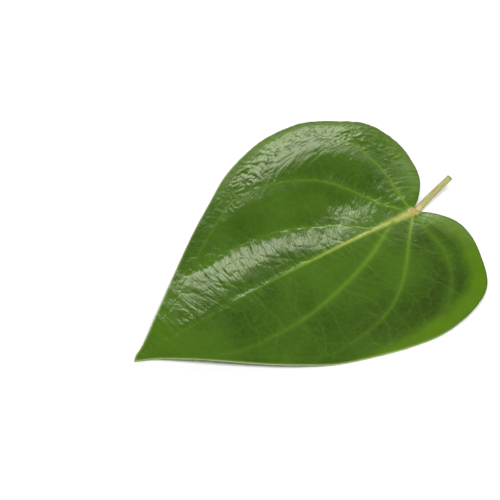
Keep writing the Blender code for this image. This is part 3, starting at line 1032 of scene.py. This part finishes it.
@dataclass(frozen=True)
class CutEnd:
    """The stalk's cut face: dry pith with darker strands in it."""

    pith: Colour = (0.33, 0.31, 0.13)
    strand: Colour = (0.10, 0.075, 0.03)
    strand_scale: float = 2600
    grain_scale: float = 3000
    grain_depth: float = 0.1 * MM

    def material(self) -> bpy.types.Material:
        """Builds the finish."""
        recipe = Recipe("cut_end")
        place = recipe.place()
        spots = recipe.span(recipe.cells(place, self.strand_scale), 0.02, 0.25)
        colour = recipe.mix(spots, self.strand, self.pith)
        normal = recipe.bump(recipe.grain(place, self.grain_scale, 3), self.grain_depth)
        return recipe.finish(recipe.skin(colour, 0.8, {"Normal": normal}))


@dataclass(frozen=True)
class PaleFloor:
    """A plain pale floor."""

    colour: Colour = (0.86, 0.86, 0.855)

    def material(self) -> bpy.types.Material:
        """Builds the finish."""
        recipe = Recipe("pale_floor")
        return recipe.finish(recipe.skin(self.colour, 0.9))


def put(name: str, data: bpy.types.ID) -> bpy.types.Object:
    """A new object in the scene."""
    thing = bpy.data.objects.new(name, data)
    bpy.context.scene.collection.objects.link(thing)
    return thing


def make_piece(name: str, vertices: Array, faces: list, materials: list, kinds: list) -> bpy.types.Object:
    """One closed mesh object with its faces pointing out.

    Args:
        name: the object's name.
        vertices: its points.
        faces: each face's point numbers.
        materials: its materials.
        kinds: each face's material number.

    Returns:
        The object, in the scene.
    """
    mesh = bpy.data.meshes.new(name)
    mesh.from_pydata(vertices.tolist(), [], faces)
    for material in materials:
        mesh.materials.append(material)
    mesh.polygons.foreach_set("material_index", kinds)
    shape = bmesh.new()
    shape.from_mesh(mesh)
    bmesh.ops.recalc_face_normals(shape, faces=shape.faces)
    shape.to_mesh(mesh)
    shape.free()
    mesh.shade_smooth()
    return put(name, mesh)


def give(piece: bpy.types.Object, stored: dict[str, Array]) -> None:
    """Stores numbers, or vectors, at each point of a piece's mesh, under their names."""
    for name, values in stored.items():
        kind, key = ("FLOAT", "value") if values.ndim == 1 else ("FLOAT_VECTOR", "vector")
        layer = piece.data.attributes.new(name, kind, "POINT")
        layer.data.foreach_set(key, values.astype(np.float32).ravel())


@dataclass
class LeafBlade:
    """The blade: two finely divided faces joined by a rounded rim."""

    plan: LeafPlan
    form: BladeForm
    joint: Pair
    upper_step: float = 0.39 * MM
    under_step: float = 0.85 * MM
    rim_bulge: float = 0.07 * MM
    first_rows: tuple[float, ...] = (0.14 * MM, 0.34 * MM)
    # The paler band of painted light by the margin: its width, soft inner edge, share on the broad lobe's rim
    # and share at the tip
    band_width: float = 6.2 * MM
    band_edge: float = 2.3 * MM
    rim_painted_glow: float = 0.55
    rim_band_width: float = 15 * MM
    tip_painted_glow: float = 0.35
    streak_run: float = 0.55 * MM
    streak_width: float = 5.0 * MM
    edge_reach: float = 0.42 * MM
    net_width: float = 0.28 * MM
    band_wobble: tuple[float, float, int] = (0.15, 7 * MM, 21)  # share, spacing and seed
    band_growth: Pair = (0.55, 0.20)  # shares along from where it widens to where it is full
    # The margin's painted line: pale as a painted highlight, dark as a painted outline on the lobes
    dark_edge: Pair = (0.32, 0.12)  # shares along from where the margin's line turns from pale to dark
    lobe_edge: float = 0.45  # share of its strength that the line loses on the lobes
    # Where colours set in, from none to full: shares across, then along
    narrow_region: tuple = ((-0.02, -0.12), (0.62, 0.38))
    broad_region: tuple = ((0.02, 0.2), (0.55, 0.20))
    tip_region: tuple = (ALL, (0.72, 0.95))
    dull_region: tuple = ((0.2, 0.4), (0.5, 0.3))
    # Painted shade, a darker band inside the margin: where it sets in, how strong it is, how far in it runs
    # and how wide
    shade_region: tuple = ((-0.10, -0.30), (0.55, 0.30))
    dull_band: Pair = (4.5 * MM, 0.8 * MM)  # distances from the margin where it ends and is full
    shade_share: float = 0.95
    shade_gap: float = 13 * MM  # how far from the margin the darker band runs
    shade_reach: float = 8 * MM
    joint_spot: Pair = (2.7 * MM, 0.9 * MM)

    def sheet(self, step: float, rows: tuple[float, ...]) -> tuple[Array, list]:
        """A triangulation of the blade in plan, inside its rim.

        Args:
            step: the fill's spacing.
            rows: distances from the rim of the rows of points that follow it.

        Returns:
            The points, the margin's first, and the triangles.
        """
        ring = self.plan.inset(self.rim_bulge)
        parts = [ring]
        for depth in rows:
            row = self.plan.inset(self.rim_bulge + depth)
            gap, _ = nearest_on(self.plan.measured, row)
            parts.append(row[self.plan.inside(row) & (gap > 0.8 * (self.rim_bulge + depth))])
        low, high = ring.min(axis=0), ring.max(axis=0)
        fill = []
        for number, y in enumerate(np.arange(low[1], high[1], step * math.sqrt(3) / 2)):
            x = np.arange(low[0] + (number % 2) * step / 2, high[0], step)
            fill.append(np.column_stack([x, np.full(len(x), y)]))
        fill = np.vstack(fill)
        fill = fill[self.plan.inside(fill)]
        gap, _ = nearest_on(self.plan.measured, fill)
        parts.append(fill[gap > self.rim_bulge + max(rows, default=0) + 0.5 * step])
        flat, _, triangles, *_ = delaunay_2d_cdt(
            [tuple(point) for point in np.vstack(parts) / MM], [], [list(range(len(ring)))], 1, 1e-6
        )
        return np.array([tuple(point) for point in flat]) * MM, [tuple(corner) for corner in triangles]

    def painted_glow_at(self, reading: Reading) -> Array:
        """How much painted light, a paler green as of light coming through the leaf, each point has: most on
        the narrow half's margin, from the joint outwards, a weaker, wider band on the broad lobe, and some at
        the tip."""
        along, across = self.plan.shares_of(reading.points)
        share, spacing, seed = self.band_wobble
        wobble = 1 + share * rough(reading.points / spacing, seed)
        width = self.band_width * wobble * ease(along, *self.band_growth) + self.band_edge
        narrow = ease(reading.edge_gap, width, width - 2 * self.band_edge)
        narrow *= within(along, across, self.narrow_region)
        broad = within(along, across, self.broad_region) * ease(reading.edge_gap, self.rim_band_width, 0)
        return narrow + self.rim_painted_glow * broad + self.tip_painted_glow * within(along, across, self.tip_region)

    def build(self) -> bpy.types.Object:
        """The blade's mesh, with what its finishes read stored at each point."""
        top, top_faces = self.sheet(self.upper_step, self.first_rows)
        low, low_faces = self.sheet(self.under_step, self.first_rows[1:])
        rim = self.plan.ring
        count = len(rim)
        plan_points = np.vstack([top, low, rim])
        reading = self.plan.read(plan_points)
        upper_height = self.form.upper(reading)
        under_height = self.form.under(reading)
        lowest = under_height[-count:]
        rim_height = (upper_height[-count:] + lowest) / 2
        height = np.concatenate([upper_height[: len(top)], under_height[len(top) : -count], rim_height])
        middle = len(top) + len(low)
        faces = list(top_faces)
        faces += [tuple(len(top) + corner for corner in reversed(face)) for face in low_faces]
        kinds = [Face.UPPER.value] * len(top_faces) + [Face.UNDER.value] * len(low_faces)
        for a, b in zip(range(count), [*range(1, count), 0]):
            faces.append((b, a, middle + a, middle + b))
            faces.append((middle + b, middle + a, len(top) + a, len(top) + b))
        kinds += [Face.RIM.value] * (2 * count)
        vertices = np.column_stack([plan_points + np.array(self.joint), height])
        low_corner, high_corner = (np.array(corner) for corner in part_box("leaf_blade"))
        vertices = np.clip(vertices, low_corner, high_corner)
        materials = [WaxyGreen().material(), MattGreen().material(), PaleRim().material()]
        blade = make_piece("blade", vertices, faces, materials, kinds)
        give(blade, self.stored(reading))
        return blade

    def stored(self, reading: Reading) -> dict[str, Array]:
        """What the finishes read at each point, by its name."""
        along, across = self.plan.shares_of(reading.points)
        shown, paleness, beside = self.form.veins_shown(reading)
        net_gap, net_strength = self.form.net.gaps(reading.points)
        at_joint = ease(reading.joint_gap, *self.joint_spot)
        dull_rim = ease(reading.edge_gap, *self.dull_band) * within(along, across, self.dull_region)
        # Painted shade a little inside the margin
        dark = self.shade_share * bell(reading.edge_gap - self.shade_gap, self.shade_reach)
        run = self.plan.reach(reading.points) / self.streak_run
        return {
            "vein": shown,
            "pale": paleness,
            "beside": beside,
            "net": bell(net_gap, self.net_width) * net_strength,
            # painted light, as of light coming through the leaf
            "band": self.painted_glow_at(reading),
            "joint": at_joint,
            "wrinkled": self.form.calm(reading) * (1 - self.form.smoother * self.form.blistered(reading)),
            "streak": np.column_stack([run, reading.points / self.streak_width]),
            # painted highlight along the margin, and where it turns to a painted dark outline
            "painted_edge_line": bell(reading.edge_gap, self.edge_reach) * (1 - self.lobe_edge * ease(along, 0.40, 0.10)),
            "painted_outline_share": ease(along, *self.dark_edge),
            "dull": np.maximum(dull_rim, at_joint),
            "shade": dark * within(along, across, self.shade_region),
        }

    def make(self) -> bpy.types.Object:
        """Builds the blade and puts it in the solid's place."""
        blade = self.build()
        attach(blade, "root")
        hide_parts("leaf_blade")
        return blade


@dataclass
class LeafStalk:
    """The stalk: a slightly channelled tube that rises from the joint, with a cut end."""

    plan: LeafPlan
    joint: Pair
    length: float = 18 * MM
    diameter: float = 2.3 * MM
    base_diameter: float = 2.6 * MM
    start_height: float = 1.7 * MM
    rise: float = math.radians(12)
    bend: float = 0.7
    taper_share: float = 0.4
    top_flat_share: float = 0.1
    joint_gap: float = 0.3 * MM
    sunk: float = 1.6 * MM  # how far it starts inside the blade's swelling
    sunk_taper: float = 0.35
    rings: int = 150
    sides: int = 48
    ridge: float = 0.03 * MM
    ridges: int = 11
    wander_turns: float = 2.2
    dish: float = 0.18 * MM
    dish_rings: int = 6
    # Where the brown lines run, partly the stalk's own marking and partly painted shade along its sides seen
    # edge-on: angles, spread and strength
    ridge_angles: Pair = (math.radians(38), math.radians(202))
    ridge_spread: float = math.radians(17)
    ridge_share: float = 0.75
    streak_length: float = 6 * MM

    def axis_at(self, share: float) -> tuple[float, float, float]:
        """Reach, height and lean of the axis at a share of the length."""
        beyond = max(share, 0.0)
        reach = self.plan.butt_setback + self.joint_gap + self.length * share
        height = self.start_height + self.length * math.tan(self.rise) * beyond**self.bend
        return reach, height, math.tan(self.rise) * beyond

    def section(self, share: float, angle: float) -> float:
        """The stalk's radius at a share of its length and an angle round it."""
        narrowing = (self.base_diameter - self.diameter) * min(1, max(share, 0) / self.taper_share)
        radius = (self.base_diameter - narrowing) / 2
        if share < 0:
            radius *= 1 + self.sunk_taper * share * self.length / self.sunk
        around = self.wander_turns
        wander = noise.noise(Vector((math.cos(angle) * around, math.sin(angle) * around, share * 3)))
        fine = math.sin(self.ridges * angle + 2 * wander) * 0.5
        return radius - self.ridge * (1 + fine + 0.6 * wander)

    def place(self, share: float, angle: float, inward: float = 1.0, deeper: float = 0.0) -> tuple:
        """A point of the stalk about the joint.

        Args:
            share: share of the length.
            angle: angle round the axis, 0 to the left and a quarter turn at the top.
            inward: share of the radius.
            deeper: how far the point is drawn back along the axis.

        Returns:
            The point.
        """
        reach, height, lean = self.axis_at(share)
        radius = self.section(share, angle) * inward
        up = min(math.sin(angle), 1 - self.top_flat_share)
        across = radius * math.cos(angle)
        along = reach - radius * up * lean - deeper
        swing = self.plan.stalk_swing
        return (
            along * math.cos(swing) - across * math.sin(swing) + self.joint[0],
            along * math.sin(swing) + across * math.cos(swing) + self.joint[1],
            height + radius * up - deeper * lean,
        )

    def build(self) -> bpy.types.Object:
        """The stalk's mesh, closed at both ends."""
        first = -self.sunk / self.length
        shares = np.linspace(first, 1, self.rings)
        angles = 2 * math.pi * np.arange(self.sides) / self.sides
        vertices = [self.place(share, angle) for share in shares for angle in angles]
        around = np.column_stack([np.cos(angles), np.sin(angles)])
        runs = shares * self.length / self.streak_length
        grown = [(run, *(3.0 * way)) for run in runs for way in around]
        ends = [share for share in shares for _ in angles]
        # The brown lines, partly painted shade along the sides
        ridges = sum(bell(angles - at, self.ridge_spread) for at in self.ridge_angles)
        ridge_lines_and_painted_shade = list(self.ridge_share * np.tile(ridges, len(shares)))
        for ring in range(1, self.dish_rings):
            inward = 1 - ring / self.dish_rings
            vertices += [self.place(1, angle, inward, self.dish * (1 - inward**2)) for angle in angles]
            grown += [(inward, *way) for way in around]
            ends += [1.0] * self.sides
            ridge_lines_and_painted_shade += [0.0] * self.sides
        faces = [tuple(range(self.sides))]
        kinds = [0]
        for ring in range(self.rings + self.dish_rings - 2):
            for side in range(self.sides):
                here = ring * self.sides + side
                beside = ring * self.sides + (side + 1) % self.sides
                faces.append((here, beside, beside + self.sides, here + self.sides))
                kinds.append(0 if ring < self.rings - 1 else 1)
        last = (self.rings + self.dish_rings - 2) * self.sides
        faces.append(tuple(range(last, last + self.sides)))
        kinds.append(1)
        materials = [StalkSkin().material(), CutEnd().material()]
        stalk = make_piece("stalk", np.array(vertices), faces, materials, kinds)
        share = np.array(ends)
        stored = {"grown": np.array(grown), "ridge_lines_and_painted_shade": np.array(ridge_lines_and_painted_shade)}
        give(stalk, {**stored, "cut": ease(share, 0.95, 1.0), "base": ease(share, 0.20, 0.0)})
        return stalk

    def make(self) -> bpy.types.Object:
        """Builds the stalk and puts it in the solid's place."""
        stalk = self.build()
        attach(stalk, "root")
        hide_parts("leaf_stalk")
        return stalk


@dataclass
class Studio:
    """A pale floor, soft light and the camera at the photograph's viewing angle."""

    joint: Vector
    picture: int = 500  # pixels each way
    focal: float = 2063.9  # pixels
    joint_seen: Pair = (414.0, 211.0)  # where the stalk joint falls in the picture
    joint_depth: float = 0.750
    elevation: float = math.radians(49)
    azimuth: float = math.radians(-34.10)
    sensor: float = 36.0
    floor_size: float = 6.0
    floor_drop: float = 0.03 * MM
    horizon: float = 0.5
    zenith: float = 0.04
    sky_falls: Pair = (0.08, 0.36)  # sines of the elevations between which it falls off
    # A soft key from overhead, and two low softboxes behind that the leaf's far slopes mirror: name, heading
    # and elevation in degrees, distance, width and height, watts
    softboxes: tuple = (
        ("key", 150, 68, 1.2, (0.9, 0.9), 19.5),
        ("back", -9, 26, 1.3, (0.58, 0.46), 6.5),
        ("side", 17, 23.5, 1.3, (0.41, 0.86), 1.6),
    )

    def floor(self) -> bpy.types.Object:
        """The floor, just under the leaf."""
        half = self.floor_size / 2
        mesh = bpy.data.meshes.new("floor")
        corners = [(-half, -half), (half, -half), (half, half), (-half, half)]
        mesh.from_pydata([(x, y, -self.floor_drop) for x, y in corners], [], [(0, 1, 2, 3)])
        mesh.materials.append(PaleFloor().material())
        floor = put("floor", mesh)
        return floor

    def sky(self) -> None:
        """Light from all round, brightest low down, as from a pale sweep."""
        world = bpy.data.worlds.new("studio")
        world.use_nodes = True
        nodes, links = world.node_tree.nodes, world.node_tree.links
        place = nodes.new("ShaderNodeTexCoord")
        split = nodes.new("ShaderNodeSeparateXYZ")
        fall = nodes.new("ShaderNodeMapRange")
        fall.interpolation_type = "SMOOTHSTEP"
        values = (*self.sky_falls, self.horizon, self.zenith)
        for name, value in zip(("From Min", "From Max", "To Min", "To Max"), values):
            fall.inputs[name].default_value = value
        links.new(place.outputs["Generated"], split.inputs[0])
        links.new(split.outputs["Z"], fall.inputs["Value"])
        links.new(fall.outputs[0], nodes["Background"].inputs["Strength"])
        nodes["Background"].inputs["Color"].default_value = (1.0, 1.0, 1.0, 1.0)
        bpy.context.scene.world = world

    def softbox(
        self, name: str, heading: float, height: float, distance: float, size: Pair, power: float
    ) -> None:
        """A rectangular soft light that faces the leaf.

        Args:
            name: the light's name.
            heading: its direction from the leaf, in degrees clockwise from the camera's forward direction.
            height: its elevation seen from the leaf, in degrees.
            distance: its distance.
            size: its width and height.
            power: its power in watts.
        """
        light = bpy.data.lights.new(name, "AREA")
        light.shape = "RECTANGLE"
        light.size, light.size_y = size
        light.energy = power
        holder = put(name, light)
        turn, height = self.azimuth - math.radians(heading), math.radians(height)
        level = math.cos(height)
        away = Vector((-math.sin(turn) * level, math.cos(turn) * level, math.sin(height)))
        holder.location = away * distance
        holder.rotation_mode = "QUATERNION"
        holder.rotation_quaternion = away.to_track_quat("Z", "Y")
        holder.visible_camera = False

    def camera(self) -> None:
        """The camera, placed so that the stalk joint falls on its place in the picture."""
        cos_e, sin_e = math.cos(self.elevation), math.sin(self.elevation)
        cos_a, sin_a = math.cos(self.azimuth), math.sin(self.azimuth)
        forward = Vector((-sin_a * cos_e, cos_a * cos_e, -sin_e))
        right = Vector((cos_a, sin_a, 0))
        up = right.cross(forward)
        across = (self.joint_seen[0] - self.picture / 2) / self.focal
        down = (self.joint_seen[1] - self.picture / 2) / self.focal
        ray = forward + across * right - down * up
        lens = bpy.data.cameras.new("camera")
        lens.sensor_width = self.sensor
        lens.lens = self.focal / self.picture * self.sensor
        lens.clip_end = 50
        camera = put("camera", lens)
        basis = Matrix((right, up, -forward)).transposed().to_4x4()
        camera.matrix_world = Matrix.Translation(self.joint - ray * self.joint_depth) @ basis
        bpy.context.scene.camera = camera

    def make(self) -> None:
        """Builds the whole studio."""
        self.floor()
        self.sky()
        for row in self.softboxes:
            self.softbox(*row)
        self.camera()
        bpy.context.scene.view_settings.view_transform = "Standard"


def main() -> None:
    """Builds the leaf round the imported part, in order, and the studio round the leaf."""
    logging.basicConfig(level=logging.INFO, format="%(message)s")
    plan = LeafPlan()
    low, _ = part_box("leaf_blade")
    joint = (low.x - plan.ring[:, 0].min(), low.y - plan.ring[:, 1].min())
    net = VeinNet(plan)
    LOG.info("vein net: %d points", len(net.strengths))
    form = BladeForm(plan, net)
    for sub_part in (LeafBlade(plan, form, joint), LeafStalk(plan, joint)):
        piece = sub_part.make()
        LOG.info("%s: %d faces", piece.name, len(piece.data.polygons))
    Studio(Vector((*joint, 3.0 * MM))).make()
    LOG.info("studio: floor, lights and camera")


if __name__ == "__main__":
    main()
